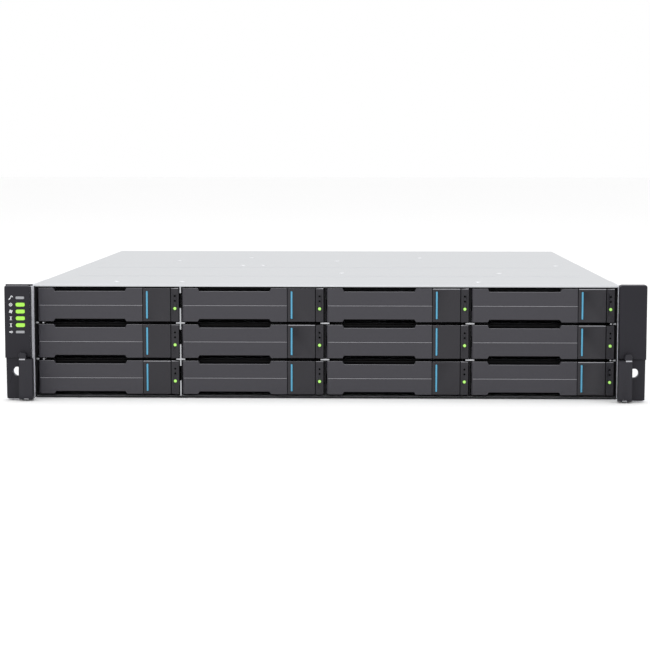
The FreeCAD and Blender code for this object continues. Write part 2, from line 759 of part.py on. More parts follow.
def make_ears():
    left = make_ear_bracket("left_bracket", "ear_face")
    right = make_ear_bracket("right_bracket", "flange_front")
    gather("ear_brackets", [left, mirror("right_bracket_mirrored", right)])
    gather("left_ear_cover", [make_ear_cover("cover_with_lamps", "left_cover_top", "0", True)])
    plain = make_ear_cover("cover_plain", "right_cover_top", "return_wall", False)
    gather("right_ear_cover", [mirror("cover_plain_mirrored", plain)])
    make_indicators()
    handle = make_handle()
    gather("left_ear_handle", [handle])
    gather("right_ear_handle", [mirror("handle_right", handle)])


# A storage controller, in the frame of its own lower left inner corner

def jack_left(index):
    return f"jack_first + {index} * jack_pitch"


def controller_canister():
    tray = box("canister_block", ("canister_width", "module_depth", "canister_height"), ("0", "0", "0"))
    hollow = box("canister_hollow",
                 ("canister_width - 2 * sheet", "module_depth", "canister_height"),
                 ("sheet", "-sheet", "sheet"))
    mouths = [box(f"jack_opening_{i}", ("jack_wide + 2 * fit_gap", "3 * sheet", "jack_tall + 2 * fit_gap"),
                  (jack_left(i) + " - fit_gap", "module_depth - 2 * sheet",
                   "board_height + board_thick - fit_gap")) for i in range(JACKS)]
    mouths += [box(f"canister_vent_{i}", ("vent_slot", "3 * sheet", "canister_height - 4 * vent_slot"),
                   (f"canister_width - vent_slot * {3 + 2 * i}", "module_depth - 2 * sheet", "2 * vent_slot"))
               for i in range(CANISTER_VENTS)]
    lugs = [box(f"lever_lug_{i}", ("2 * lever_knuckle", "lever_stand + lever_knuckle", "lug_plate"),
                ("lever_knuckle", "module_depth", low))
            for i, low in enumerate(("lever_low - lug_plate - bay_gap", "lever_low + lever_height + bay_gap"))]
    pin = cylinder("lever_pin_rod", "lever_pin", "lever_height + 2 * bay_gap + lug_plate",
                   ("2 * lever_knuckle", "module_depth + lever_stand", "lever_low - bay_gap - lug_plate / 2"))
    return join("canister", [cut("canister_cut", tray, [hollow] + mouths)] + lugs + [pin])


def controller_jack(index):
    body = box(f"jack_{index}_body", ("jack_wide", "jack_deep", "jack_tall"),
               (jack_left(index), "module_depth - jack_deep", "board_height + board_thick"))
    mouth = box(f"jack_{index}_mouth", ("jack_mouth_wide", "2 * jack_mouth_deep", "jack_mouth_tall"),
                (f"{jack_left(index)} + (jack_wide - jack_mouth_wide) / 2", "module_depth - jack_mouth_deep",
                 "board_height + board_thick + (jack_tall - jack_mouth_tall) / 2"))
    return cut(f"jack_{index}", body, [mouth])


def controller_heat_sink():
    base_low = "board_height + board_thick + 4"
    base = box("sink_base", ("80", "90", "3"), ("60", "130", base_low))
    fins = [box(f"sink_fin_{i}", ("1.2", "90", "18"), (f"60 + {i} * 78.8 / 15", "130", f"{base_low} + 3"))
            for i in range(16)]
    block = box("processor", ("36", "36", "4"), ("82", "157", "board_height + board_thick"))
    return [join("heat_sink", [base] + fins), block]


def controller_inside():
    """The board on its standoffs, two memory modules, the backup battery and the midplane plug."""
    board = box("controller_board", ("canister_width - 4 * sheet", "module_depth - 4 * sheet", "board_thick"),
                ("2 * sheet", "2 * sheet", "board_height"))
    stands = [box(f"standoff_{i}", ("6", "6", "board_height - sheet"),
                  (f"20 + {i % 2} * (canister_width - 46)", f"20 + {i // 2} * (module_depth - 46)", "sheet"))
              for i in range(4)]
    memory = [box(f"memory_{i}", ("4", "133", "28"), (f"170 + {i} * 12", "110", "board_height + board_thick"))
              for i in range(2)]
    battery = box("backup_battery", ("46", "110", "24"), ("206", "60", "board_height + board_thick"))
    plug = box("canister_plug", ("90", "plug_reach + plug_seat", "9"),
               ("86", "-plug_reach", "board_height + board_thick"))
    return [board, battery, plug] + stands + memory


def make_lever_master():
    knuckle = cylinder("lever_end", "lever_knuckle", "lever_height",
                       ("2 * lever_knuckle", "module_depth + lever_stand", "lever_low"))
    arm = box("lever_arm", ("lever_length", "lever_thick", "lever_height"),
              ("2 * lever_knuckle", "module_depth + lever_stand + lever_knuckle - lever_thick", "lever_low"))
    hole = cylinder("lever_bore", "lever_pin + pin_gap", "3 * lever_height",
                    ("2 * lever_knuckle", "module_depth + lever_stand", "lever_low - lever_height"))
    return cut("lever", join("lever_solid", [knuckle, arm]), [hole])


def make_controllers():
    solids = [controller_canister()] + [controller_jack(i) for i in range(JACKS)]
    solids += controller_heat_sink() + controller_inside()
    lever = make_lever_master()
    spots = {"upper": "shelf_low + partition + bay_gap", "lower": "sheet + bay_gap"}
    for name, low in spots.items():
        at = ("-canister_width / 2", "rear - module_depth", low)
        gather(f"controller_{name}", solids, at)
        gather(f"controller_lever_{name}", [lever], at)


# A power supply with its fan, in the frame of its own lower left inner corner

def supply_case():
    block = box("supply_block", ("supply_width", "module_depth", "supply_height"), ("0", "0", "0"))
    hollow = box("supply_hollow",
                 ("supply_width - 2 * sheet", "module_depth - 2 * sheet", "supply_height - 2 * sheet"),
                 ("sheet", "sheet", "sheet"))
    cuts = [hollow,
            cylinder("fan_opening", "duct_radius - guard_ring / 3", "4 * sheet",
                     ("supply_middle", "module_depth - 2 * sheet", "fan_height"), "y"),
            box("inlet_opening", ("inlet_wide + 2 * fit_gap", "4 * sheet", "inlet_tall + 2 * fit_gap"),
                ("inlet_left - fit_gap", "module_depth - 2 * sheet", "sheet - fit_gap")),
            box("tongue_opening", ("44 + 2 * fit_gap", "4 * sheet", "8 + 2 * fit_gap"),
                ("20 - fit_gap", "-2 * sheet", "supply_board_height + board_thick - fit_gap"))]
    for i in range(5):
        cuts.append(box(f"supply_vent_{i}", ("supply_width - 24", "4 * sheet", "4"),
                        ("12", "-sheet", f"34 + {i} * 8")))
    lugs = [box(f"latch_lug_{i}", ("2 * latch_knuckle + 1", "latch_stand + latch_knuckle", "lug_plate"),
                ("latch_x - latch_knuckle - 0.5", "module_depth", low))
            for i, low in enumerate(("latch_low - lug_plate - bay_gap", "latch_low + latch_tall + bay_gap"))]
    pin = cylinder("latch_rod", "latch_pin", "latch_tall + 2 * bay_gap + lug_plate",
                   ("latch_x", "module_depth + latch_stand", "latch_low - bay_gap - lug_plate / 2"))
    stands = [box(f"supply_stand_{i}", ("5", "5", "supply_board_height - sheet / 2"),
                  (f"8 + {i % 2} * 64", f"20 + {i // 2} * (module_depth - 110)", "sheet / 2")) for i in range(4)]
    return join("supply_case", [cut("supply_case_cut", block, cuts)] + lugs + stands + [pin])


def supply_fan_frame():
    """The square fan frame: a duct, and a motor seat on four struts at its inner end."""
    inner = "module_depth - sheet - fan_deep"
    block = box("fan_block", ("fan_size", "fan_deep", "fan_size"),
                ("supply_middle - fan_size / 2", inner, "fan_height - fan_size / 2"))
    duct = cylinder("fan_duct", "duct_radius", "2 * fan_deep",
                    ("supply_middle", f"{inner} - fan_deep / 2", "fan_height"), "y")
    seat = cylinder("motor_seat", "hub_radius", "strut", ("supply_middle", inner, "fan_height"), "y")
    across = box("strut_across", ("2 * duct_radius + strut / 3", "strut", "strut"),
                 ("supply_middle - duct_radius - strut / 6", inner, "fan_height - strut / 2"))
    upright = box("strut_upright", ("strut", "strut", "2 * duct_radius + strut / 3"),
                  ("supply_middle - strut / 2", inner, "fan_height - duct_radius - strut / 6"))
    spindle = cylinder("fan_spindle", "spindle_radius", "hub_length / 2 + strut",
                       ("supply_middle", inner, "fan_height"), "y")
    return join("fan_frame", [cut("fan_frame_cut", block, [duct]), seat, across, upright, spindle])


def supply_guard():
    rings = []
    for i in range(3):
        outer = f"duct_radius - {i} * 7.5"
        at = ("supply_middle", "module_depth", "fan_height")
        disc = cylinder(f"guard_disc_{i}", outer, "guard_thick", at, "y")
        hole = cylinder(f"guard_hole_{i}", f"{outer} - guard_ring", "3 * guard_thick",
                        (at[0], "module_depth - guard_thick", at[2]), "y")
        rings.append(cut(f"guard_ring_{i}", disc, [hole]))
    spokes = [box("guard_spoke_across", ("fan_size", "guard_thick", "guard_ring"),
                  ("supply_middle - fan_size / 2", "module_depth", "fan_height - guard_ring / 2")),
              box("guard_spoke_upright", ("guard_ring", "guard_thick", "fan_size"),
                  ("supply_middle - guard_ring / 2", "module_depth", "fan_height - fan_size / 2"))]
    return join("fan_guard", rings + spokes)


def supply_inlet():
    body = box("inlet_body", ("inlet_wide", "inlet_deep", "inlet_tall"),
               ("inlet_left", "module_depth - inlet_deep", "sheet"))
    mouth = box("inlet_mouth", ("inlet_mouth_wide", "2 * inlet_mouth_deep", "inlet_mouth_tall"),
                ("inlet_left + (inlet_wide - inlet_mouth_wide) / 2", "module_depth - inlet_mouth_deep",
                 "sheet + (inlet_tall - inlet_mouth_tall) / 2"))
    return cut("inlet", body, [mouth])


def supply_handle():
    left = "supply_width - grip_wide - grip_inset"
    legs = [box(f"grip_leg_{i}", ("grip_wide", "rear_reach", "grip_thick"),
                (left, "module_depth", f"grip_low + {i} * (grip_tall - grip_thick)")) for i in range(2)]
    grip = box("grip_bar", ("grip_wide", "grip_thick", "grip_tall"),
               (left, "module_depth + rear_reach - grip_thick", "grip_low"))
    return join("grip", legs + [grip])


def supply_inside():
    top = "supply_board_height + board_thick"
    board = box("supply_board", ("supply_width - 6 * sheet", "module_depth - 70", "board_thick"),
                ("3 * sheet", "4 * sheet", "supply_board_height"))
    coil = box("transformer", ("40", "48", "34"), ("20", "120", top))
    sink = box("supply_heat_sink", ("6", "120", "48"), ("66", "60", top))
    tongue = box("supply_plug", ("44", "plug_reach + plug_seat", "8"), ("20", "-plug_reach", top))
    return [board, coil, sink, tongue]


def make_latch_master():
    knuckle = cylinder("latch_end", "latch_knuckle", "latch_tall",
                       ("latch_x", "module_depth + latch_stand", "latch_low"))
    tab = box("latch_tab", ("latch_thick", "latch_reach", "latch_tall"),
              ("latch_x - latch_thick / 2", "module_depth + latch_stand", "latch_low"))
    hole = cylinder("latch_bore", "latch_pin + pin_gap", "3 * latch_tall",
                    ("latch_x", "module_depth + latch_stand", "latch_low - latch_tall"))
    return cut("latch", join("latch_solid", [knuckle, tab]), [hole])


def make_rotor_master():
    """A fan rotor about the Y axis through the origin, its open hub end at y = 0."""
    hub = cylinder("rotor_hub", "hub_radius", "hub_length", ("0", "0", "0"), "y")
    tilt = FreeCAD.Rotation(FreeCAD.Vector(1, 0, 0), BLADE_PITCH_DEG)
    blade = doc.addObject("Part::Box", "rotor_blade")
    blade.setExpression("Length", formula("blade_tip - hub_radius + strut"))
    blade.setExpression("Width", formula("blade_chord"))
    blade.setExpression("Height", formula("blade_thick"))
    blade.Placement = FreeCAD.Placement(FreeCAD.Vector(), tilt)
    place(blade, ("hub_radius - strut", "hub_length / 2 - blade_chord * 0.41", "-blade_chord * 0.287"))
    blades = []
    for i in range(BLADES):
        copy = doc.addObject("Part::Compound", f"rotor_blade_{i}")
        copy.Links = [blade]
        copy.Placement = FreeCAD.Placement(
            FreeCAD.Vector(), FreeCAD.Rotation(FreeCAD.Vector(0, 1, 0), 360.0 * i / BLADES))
        blades.append(copy)
    bore = cylinder("rotor_bore", "spindle_radius + pin_gap", "hub_length / 2 + strut",
                    ("0", "-strut", "0"), "y")
    return cut("rotor", join("rotor_solid", [hub] + blades), [bore])


def make_supplies():
    solids = [supply_case(), supply_fan_frame(), supply_guard(), supply_inlet(), supply_handle()]
    solids += supply_inside()
    latch = make_latch_master()
    rotor = make_rotor_master()
    lefts = {"left": "-inner_half + bay_gap", "right": "partition_face + partition + bay_gap"}
    for side, left in lefts.items():
        at = (left, "rear - module_depth", "sheet + bay_gap")
        gather(f"power_supply_{side}", solids, at)
        gather(f"supply_latch_{side}", [latch], at)
        gather(f"fan_rotor_{side}", [rotor],
               (f"{left} + supply_middle", "rear - sheet - fan_deep + strut + bay_gap",
                "sheet + bay_gap + fan_height"))


def check_and_write():
    failed = [o.Name for o in doc.Objects if {"Invalid", "Error"} & set(o.State)]
    if failed:
        raise RuntimeError(f"objects failed: {failed}")
    os.makedirs("parts", exist_ok=True)
    for item in nodes:
        shape = item.Shape
        if shape.isNull() or not shape.isValid() or not shape.Solids:
            raise RuntimeError(f"{item.Label} has no valid shape")
        shape.exportStep(os.path.join("parts", item.Label + ".step"))
    print(len(nodes), "nodes written")


fill_sheet()
doc.recompute()
make_chassis()
make_cover()
make_screws()
make_cage()
make_midplane()
make_partitions()
make_trays()
make_ears()
make_controllers()
make_supplies()
doc.recompute()
check_and_write()
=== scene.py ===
import json
import math

import bmesh
import bpy
import numpy as np
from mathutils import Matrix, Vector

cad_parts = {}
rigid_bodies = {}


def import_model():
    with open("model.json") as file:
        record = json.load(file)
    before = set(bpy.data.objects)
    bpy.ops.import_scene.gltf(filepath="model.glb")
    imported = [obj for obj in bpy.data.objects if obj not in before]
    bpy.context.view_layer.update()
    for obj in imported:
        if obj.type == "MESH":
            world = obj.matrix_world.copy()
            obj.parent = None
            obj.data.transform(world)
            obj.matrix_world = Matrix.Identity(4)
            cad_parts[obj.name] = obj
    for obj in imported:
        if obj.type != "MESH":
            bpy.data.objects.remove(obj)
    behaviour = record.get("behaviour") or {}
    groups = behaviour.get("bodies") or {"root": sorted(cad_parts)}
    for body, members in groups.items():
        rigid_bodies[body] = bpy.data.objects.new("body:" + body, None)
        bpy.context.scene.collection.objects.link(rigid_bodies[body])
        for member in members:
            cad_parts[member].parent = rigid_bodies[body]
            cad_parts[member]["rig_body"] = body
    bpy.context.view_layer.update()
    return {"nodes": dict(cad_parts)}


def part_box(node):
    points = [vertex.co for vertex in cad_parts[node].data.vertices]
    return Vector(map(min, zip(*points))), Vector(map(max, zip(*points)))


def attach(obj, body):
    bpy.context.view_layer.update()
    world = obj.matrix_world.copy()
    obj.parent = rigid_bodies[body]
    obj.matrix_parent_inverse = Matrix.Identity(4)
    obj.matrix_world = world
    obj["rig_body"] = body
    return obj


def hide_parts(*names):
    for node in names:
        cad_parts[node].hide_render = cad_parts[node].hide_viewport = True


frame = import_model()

MM = 0.001
BAYS = [(row, column) for row in (1, 2, 3) for column in (1, 2, 3, 4)]
ORDERS = {"x": (2, 0, 1), "y": (0, 2, 1), "z": (0, 1, 2)}
SHARP = 35.0  # degrees between two faces, past which their edge is rounded
WIDE_BEVEL = 0.8  # millimetres, from which a rounding gets a third segment

# Sizes of the lid, its screws, the indicators and the rear modules, in millimetres.
SHEET = 1.2
LID_FRONT = 275.0
LID_SEAM = 0.6
GROOVES = (99.0, 213.0)
GROOVE_HALF = 4.5
GROOVE_DEEP = 1.5
HEAD_CELL = 9
HEAD_APART = 4
BAR_TOP = 9.3
BAR_PITCH = 5.17
SOCKET_FIRST = 98.0
SOCKET_PITCH = 18.4
SOCKET_FLOOR = 9.1
INLET_MIDDLE = 29.5
FAN_HEIGHT = 51.0


# Shapes. Each is a pair: points in millimetres, and a list of arrays of corner numbers.

def loft(stations):
    """A closed solid through outlines of equal length: quads join each outline to the next, and a cap closes
    either end."""
    count, ring = stations.shape[:2]
    row = np.arange(count - 1)[:, None] * ring
    here = np.arange(ring)[None, :]
    after = (here + 1) % ring
    quads = np.stack([row + here, row + after, row + ring + after, row + ring + here], -1)
    caps = np.stack([np.arange(ring)[::-1], np.arange(ring) + (count - 1) * ring])
    return stations.reshape(-1, 3), [quads.reshape(-1, 4), caps]


def swept(outline, ends, axis):
    """An outline in the two other directions, carried straight along an axis through the given places."""
    outline = np.asarray(outline, float)
    flat = np.broadcast_to(outline, (len(ends),) + outline.shape)
    along = np.broadcast_to(np.asarray(ends, float)[:, None, None], flat.shape[:2] + (1,))
    return loft(np.concatenate([flat, along], -1)[..., ORDERS[axis]])


def turned(profile, centre, axis, sides=32):
    """A profile of (radius, height) carried round: across = r cos a, up = r sin a, and along the axis the
    height."""
    profile = np.asarray(profile, float)
    angle = np.linspace(0, 2 * np.pi, sides, endpoint=False)
    radius, height = profile[:, :1], profile[:, 1:]
    flat = [radius * np.cos(angle), radius * np.sin(angle), height + 0 * angle]
    return loft(np.stack(flat, -1)[..., ORDERS[axis]] + np.asarray(centre, float))


def joined(parts):
    """Several shapes as one."""
    points, faces, start = [], [], 0
    for spots, sets in parts:
        points.append(spots)
        faces += [corners + start for corners in sets]
        start += len(spots)
    return np.concatenate(points), faces


def rectangle(left, right, low, high):
    """The outline of a rectangle: its four corners, the way round that the other outlines go."""
    return np.array([(left, low), (right, low), (right, high), (left, high)], float)


def rounded(left, right, low, high, radius, steps=6):
    """A rectangle's outline with round corners: each corner's centre plus the radius times (cos a, sin a),
    over a quarter turn of its own."""
    angle = np.linspace(0, np.pi / 2, steps)
    quarter = np.arange(4)[:, None] * np.pi / 2 + angle
    centres = np.array([(right - radius, high - radius), (left + radius, high - radius),
                        (left + radius, low + radius), (right - radius, low + radius)])
    turn = radius * np.stack([np.cos(quarter), np.sin(quarter)], -1)
    return (centres[:, None] + turn).reshape(-1, 2)


def stroke(start, end, wide):
    """The outline of a straight bar between two points."""
    start, end = np.asarray(start, float), np.asarray(end, float)
    along = (end - start) / np.linalg.norm(end - start)
    side = np.array([-along[1], along[0]]) * wide / 2
    return np.array([start - side, end - side, end + side, start + side])


def band(radius, wide, first, last, steps=24):
    """The outline of part of a ring: out along the larger arc and back along the smaller one, in degrees."""
    angle = np.radians(np.linspace(first, last, steps))
    arc = np.stack([np.cos(angle), np.sin(angle)], -1)
    return np.concatenate([(radius + wide / 2) * arc, (radius - wide / 2) * arc[::-1]])


# Materials. Each reads Object coordinates, so its grain stays the size it is on the real thing.

def linear(red, green, blue):
    """A display colour of 0 to 255 as linear light."""
    share = np.array([red, green, blue]) / 255
    return np.where(share <= 0.04045, share / 12.92, ((share + 0.055) / 1.055) ** 2.4)


def grain(tree, scale, stretch, detail):
    """Noise in Object coordinates, drawn out along an axis for brushed or rolled metal."""
    place = tree.nodes.new("ShaderNodeTexCoord")
    squeeze = tree.nodes.new("ShaderNodeMapping")
    squeeze.inputs["Scale"].default_value = stretch
    noise = tree.nodes.new("ShaderNodeTexNoise")
    noise.inputs["Scale"].default_value = scale
    noise.inputs["Detail"].default_value = detail
    tree.links.new(place.outputs["Object"], squeeze.inputs["Vector"])
    tree.links.new(squeeze.outputs["Vector"], noise.inputs["Vector"])
    return noise.outputs["Fac"]


def spread(tree, fac, low, high):
    """The middle range of a noise, from 0.3 to 0.7, stretched to go from low to high."""
    ranged = tree.nodes.new("ShaderNodeMapRange")
    ranged.inputs["From Min"].default_value = 0.3
    ranged.inputs["From Max"].default_value = 0.7
    ranged.inputs["To Min"].default_value = low
    ranged.inputs["To Max"].default_value = high
    tree.links.new(fac, ranged.inputs["Value"])
    return ranged.outputs["Result"]


def paint(name, colour, rough, metal=0.0, vary=0.05, scale=900, stretch=(1, 1, 1), bump=0.05,
          fine=3000, glow=0.0, clear=0.0, gloss=0.5):
    """A material whose colour, roughness and height all vary a little: broad clouds for colour and roughness,
    and a fine grain for the height. glow is how strongly it gives off its own colour, clear is its lacquer,
    and gloss is the specular level."""
    made = bpy.data.materials.new(name)
    made.use_nodes = True
    tree = made.node_tree
    shader = tree.nodes["Principled BSDF"]
    tone = linear(*colour)
    clouds = grain(tree, scale, stretch, 4.0)
    mix = tree.nodes.new("ShaderNodeMix")
    mix.data_type = "RGBA"
    mix.inputs["A"].default_value = (*(tone * (1 - vary)), 1)
    mix.inputs["B"].default_value = (*np.minimum(tone * (1 + vary), 1), 1)
    tree.links.new(spread(tree, clouds, 0, 1), mix.inputs["Factor"])
    tree.links.new(mix.outputs["Result"], shader.inputs["Base Color"])
    tree.links.new(spread(tree, clouds, rough * 0.92, min(rough * 1.08, 1)), shader.inputs["Roughness"])
    shader.inputs["Metallic"].default_value = metal
    shader.inputs["Coat Weight"].default_value = clear
    shader.inputs["Specular IOR Level"].default_value = gloss
    if bump:
        relief = tree.nodes.new("ShaderNodeBump")
        relief.inputs["Strength"].default_value = bump
        relief.inputs["Distance"].default_value = 0.0001
        tree.links.new(grain(tree, fine, stretch, 2.0), relief.inputs["Height"])
        tree.links.new(relief.outputs["Normal"], shader.inputs["Normal"])
    if glow:
        shader.inputs["Emission Color"].default_value = (*tone, 1)
        shader.inputs["Emission Strength"].default_value = glow
    return made


EVEN = (1, 1, 1)
BRUSHED = (0.1, 1, 1)
ROLLED = (1, 0.06, 1)
PAINTS = {
    "lid": paint("lid_steel", (190, 192, 195), 0.4, 0.3, 0.02, 500, BRUSHED, 0.03),
    "zinc": paint("galvanised_steel", (176, 177, 180), 0.42, 0.6, 0.06, 260, EVEN, 0.04),
    "bright": paint("bright_steel", (222, 223, 226), 0.3, 0.7, 0.04, 900, EVEN, 0.02),
    # the bracket's bare steel, partly its own colour and partly a painted reflection: paler and less metallic
    # than the galvanised steel
    "return": paint("bracket_steel_and_painted_reflection", (214, 215, 222), 0.4, 0.15, 0.2, 420, EVEN, 0.06),
    # painted shade: near-black steel for faces that lie in shade, the chassis's front faces and side-wall
    # insides and the cage's set-back fronts and liner insides
    "shadow": paint("painted_shade_steel", (26, 26, 29), 0.6, 0.0, 0.05, 400, EVEN, 0.04, gloss=0.2),
    "flap": paint("flap_plastic", (64, 63, 68), 0.45, 0.0, 0.03, 700, EVEN, 0.12, gloss=0.2),
    # painted highlight: a pale material on the rounded edges that face up and forward, where an overhead
    # light would glint
    "edge": paint("painted_highlight_edge", (168, 168, 173), 0.3, 0.0, 0.03, 900, EVEN, 0.02),
    # painted highlight: a softer pale material on the up-and-forward rounded edges of the ear covers and
    # handles
    "soft_highlight": paint("painted_soft_highlight", (92, 91, 98), 0.32, 0.0, 0.03, 900, EVEN, 0.02),
    # painted shade: the flap's own plastic made near black on the scoops, which lie recessed in the notches
    "scoop": paint("scoop_plastic_painted_shade", (18, 18, 20), 0.6, 0.0, 0.04, 700, EVEN, 0.1, gloss=0.15),
    "button": paint("button_plastic", (49, 48, 52), 0.45, 0.0, 0.03, 700, EVEN, 0.12, gloss=0.2),
    "stripe": paint("blue_stripe", (80, 158, 192), 0.4, 0.0, 0.03, 900, EVEN, 0.03),
    # the carrier's black plastic, darkened further as painted shade for the gaps between the bays
    "frame": paint("carrier_plastic_and_painted_shade", (20, 20, 22), 0.55, 0.0, 0.04, 700, EVEN, 0.12, gloss=0.2),
    "strip": paint("lamp_strip_plastic", (46, 45, 49), 0.5, 0.0, 0.04, 700, EVEN, 0.12, gloss=0.2),
    "ear": paint("ear_plastic", (34, 33, 39), 0.45, 0.0, 0.04, 800, EVEN, 0.15, gloss=0.2),
    "handle": paint("handle_plastic", (38, 37, 43), 0.42, 0.0, 0.04, 800, EVEN, 0.12, gloss=0.25),
    "lamp": paint("green_lamp", (142, 200, 66), 0.3, 0.0, 0.02, 900, EVEN, 0.0, glow=0.42),
    "led": paint("carrier_lamp", (150, 205, 96), 0.25, 0.0, 0.02, 900, EVEN, 0.0, glow=0.6),
    "amber": paint("amber_lamp", (238, 164, 52), 0.3, 0.0, 0.02, 900, EVEN, 0.0, glow=0.4),
    "dim": paint("unlit_lamp", (150, 151, 155), 0.4, 0.0, 0.03, 900, EVEN, 0.0),
    "print": paint("printed_symbol", (226, 227, 231), 0.5, 0.0, 0.02, 900, EVEN, 0.0),
    "cast": paint("drive_casting", (150, 152, 156), 0.4, 0.8, 0.05, 500, EVEN, 0.08),
    "label": paint("blank_label", (222, 223, 224), 0.5, 0.0, 0.02, 400, EVEN, 0.02),
    "ink": paint("label_ink", (40, 40, 44), 0.6, 0.0, 0.04, 900, EVEN, 0.0),
    "green": paint("circuit_board", (20, 92, 58), 0.35, 0.0, 0.18, 350, EVEN, 0.06, clear=0.3),
    "black": paint("black_plastic", (30, 30, 33), 0.5, 0.0, 0.06, 700, EVEN, 0.1),
    "gold": paint("gold_contacts", (214, 170, 82), 0.25, 1.0, 0.04, 900, EVEN, 0.0),
    "fins": paint("aluminium_fins", (190, 192, 196), 0.32, 0.9, 0.04, 500, ROLLED, 0.05),
    "touch": paint("touch_blue", (40, 104, 158), 0.4, 0.0, 0.04, 700, EVEN, 0.1),
    "wrap": paint("battery_wrap", (62, 68, 92), 0.35, 0.0, 0.05, 400, EVEN, 0.05),
    "tape": paint("transformer_tape", (206, 170, 60), 0.45, 0.0, 0.05, 300, EVEN, 0.05),
}


# Pieces

def finish_mesh(made, bevel):
    """Faces outward, smooth over gentle turns, and rounded along the sharp edges."""
    shell = bmesh.new()
    shell.from_mesh(made.data)
    bmesh.ops.recalc_face_normals(shell, faces=shell.faces)
    shell.to_mesh(made.data)
    shell.free()
    made.data.shade_smooth()
    made.data.set_sharp_from_angle(angle=math.radians(SHARP))
    if bevel:
        edge = made.modifiers.new("rounded_edges", "BEVEL")
        edge.width = bevel * MM
        edge.segments = 3 if bevel >= WIDE_BEVEL else 2
        edge.limit_method = "ANGLE"
        edge.angle_limit = math.radians(SHARP)
        edge.harden_normals = True


def piece(name, body, look, shape, bevel=0.0, replaces=()):
    """A new piece from a shape, riding on a body."""
    points, faces = shape
    mesh = bpy.data.meshes.new(name)
    mesh.from_pydata((points * MM).tolist(), [], sum((corners.tolist() for corners in faces), []))
    made = bpy.data.objects.new(name, mesh)
    bpy.context.scene.collection.objects.link(made)
    mesh.materials.append(PAINTS[look])
    finish_mesh(made, bevel)
    return settle(made, body, replaces)


def settle(made, body, replaces):
    """The body that a piece rides on, and the nodes it stands for."""
    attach(made, body)
    for node in replaces:
        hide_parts(node)
    return made


def bulk(made):
    """Sorts pieces by the room that their boxes take, largest first."""
    return -float(np.prod(np.array(made.dimensions)))


def placing(made):
    """Sorts pieces from the top down, in steps of 5 mm, and from left to right."""
    corners = np.array([tuple(corner) for corner in made.bound_box]) / MM
    middle = (corners.min(0) + corners.max(0)) / 2
    return -round(middle[2] / 5), round(float(middle[0]))


def shade(made, look, chosen):
    """A further material for the faces that chosen picks, given their normals and their middles in
    millimetres."""
    mesh = made.data
    count = len(mesh.polygons)
    normals, middles, spots = np.empty(count * 3), np.empty(count * 3), np.empty(count, np.int32)
    mesh.polygons.foreach_get("normal", normals)
    mesh.polygons.foreach_get("center", middles)
    mesh.polygons.foreach_get("material_index", spots)
    mesh.materials.append(PAINTS[look])
    spots[chosen(normals.reshape(-1, 3), middles.reshape(-1, 3) / MM)] = len(mesh.materials) - 1
    mesh.polygons.foreach_set("material_index", spots)


def weighted(made, chosen):
    """Limits the rounding to the sharp edges that chosen weighs, given both ends in millimetres."""
    mesh = made.data
    spots, ends = np.empty(len(mesh.vertices) * 3), np.empty(len(mesh.edges) * 2, np.int32)
    mesh.vertices.foreach_get("co", spots)
    mesh.edges.foreach_get("vertices", ends)
    spots, ends = spots.reshape(-1, 3) / MM, ends.reshape(-1, 2)
    sharp = np.empty(len(mesh.edges), bool)
    mesh.edges.foreach_get("use_edge_sharp", sharp)
    weights = mesh.attributes.new("bevel_weight_edge", "FLOAT", "EDGE")
    shares = sharp * chosen(spots[ends[:, 0]], spots[ends[:, 1]])
    weights.data.foreach_set("value", shares.astype(np.float32))
    made.modifiers["rounded_edges"].limit_method = "WEIGHT"
    made.modifiers["rounded_edges"].use_clamp_overlap = False


def long_edges(share, through_from=3, level_from=8, margin=0.2):
    """Weighs the long level edges by a share, and fully the edges that run front to back at the top or foot.
    The lengths that count as long and the margin at the top and foot are in millimetres."""
    def chosen(start, end):
        span = np.abs(end - start)
        length = np.linalg.norm(span, axis=1)
        both = np.concatenate([start, end])
        top, foot = both[:, 2].max(), both[:, 2].min()
        through = (span[:, 1] > 0.9 * length) & (length > through_from)
        corner = through & ((start[:, 2] > top - margin) | (start[:, 2] < foot + margin))
        level = (span[:, 1] < 0.01) & (length > level_from)
        return np.where(corner, 1.0, np.where(level, share, 0.0))
    return chosen


def longer(limit, back=1e9):
    """Weighs the edges that are longer than a limit and lie wholly before a depth."""
    def chosen(start, end):
        before = np.maximum(start[:, 1], end[:, 1]) < back
        return np.where(before & (np.linalg.norm(end - start, axis=1) > limit), 1.0, 0.0)
    return chosen


def paint_edge_highlights(made, look, back=1e9):
    """The rounded edges that face up and forward, and lie before a depth, in a paler material: a painted
    highlight.
    """
    bpy.context.view_layer.update()
    shaped = made.evaluated_get(bpy.context.evaluated_depsgraph_get())
    mesh = bpy.data.meshes.new_from_object(shaped)
    made.modifiers.clear()
    made.data = mesh
    shade(made, look, lambda normals, middles: (normals[:, 1] < -0.3) & (normals[:, 2] > 0.3)
          & (np.abs(normals[:, 0]) < 0.8) & (middles[:, 1] < back))


